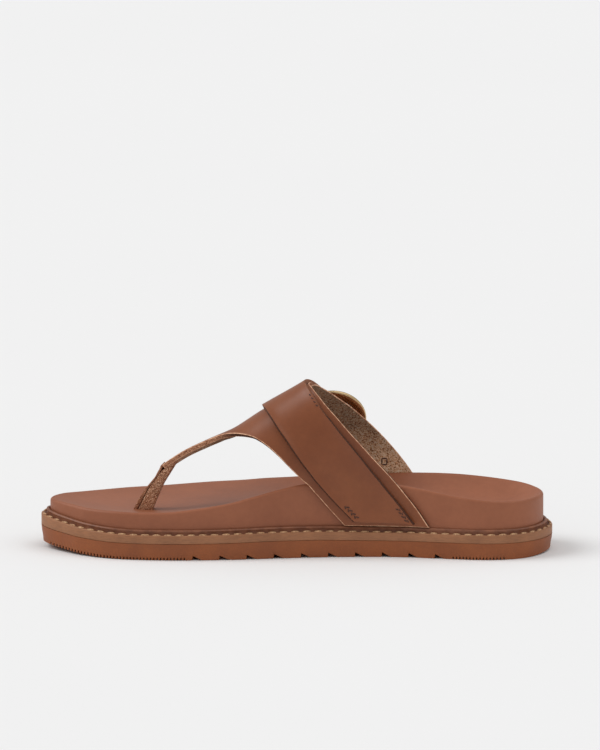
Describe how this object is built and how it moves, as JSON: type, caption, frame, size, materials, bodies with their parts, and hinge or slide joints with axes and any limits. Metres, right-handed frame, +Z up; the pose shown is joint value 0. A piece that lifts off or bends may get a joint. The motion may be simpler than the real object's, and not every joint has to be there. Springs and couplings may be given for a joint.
{
  "type": "toe post sandal",
  "caption": "Women's toe post sandal: T-shaped leather vamp, wide buckled instep strap and stacked toe post on a contoured footbed, stitched welt and notched rubber outsole.",
  "frame": {"origin": "on the floor, under the middle of the sole", "axes": "+X from the toe towards the heel, +Y towards the lateral side, +Z up"},
  "size_m": [0.2546, 0.1005, 0.0855],
  "materials": {
    "outsole_rubber": "matte moulded rubber",
    "welt_leather": "burnished leather edge",
    "footbed_leather": "smooth matte leather",
    "strap_leather": "oiled grain leather with raw cut edges",
    "post_leather": "stacked raw leather",
    "thread": "waxed thread",
    "buckle_metal": "pale gold plated metal"
  },
  "bodies": {
    "root": {"outsole": "outsole_rubber", "welt": "welt_leather", "footbed": "footbed_leather", "upper": "strap_leather", "instep_strap": "strap_leather", "toe_post": "post_leather", "post_cover": "strap_leather", "buckle_ring": "buckle_metal", "buckle_prong": "buckle_metal", "buckle_tab": "strap_leather"}
  },
  "joints": []
}
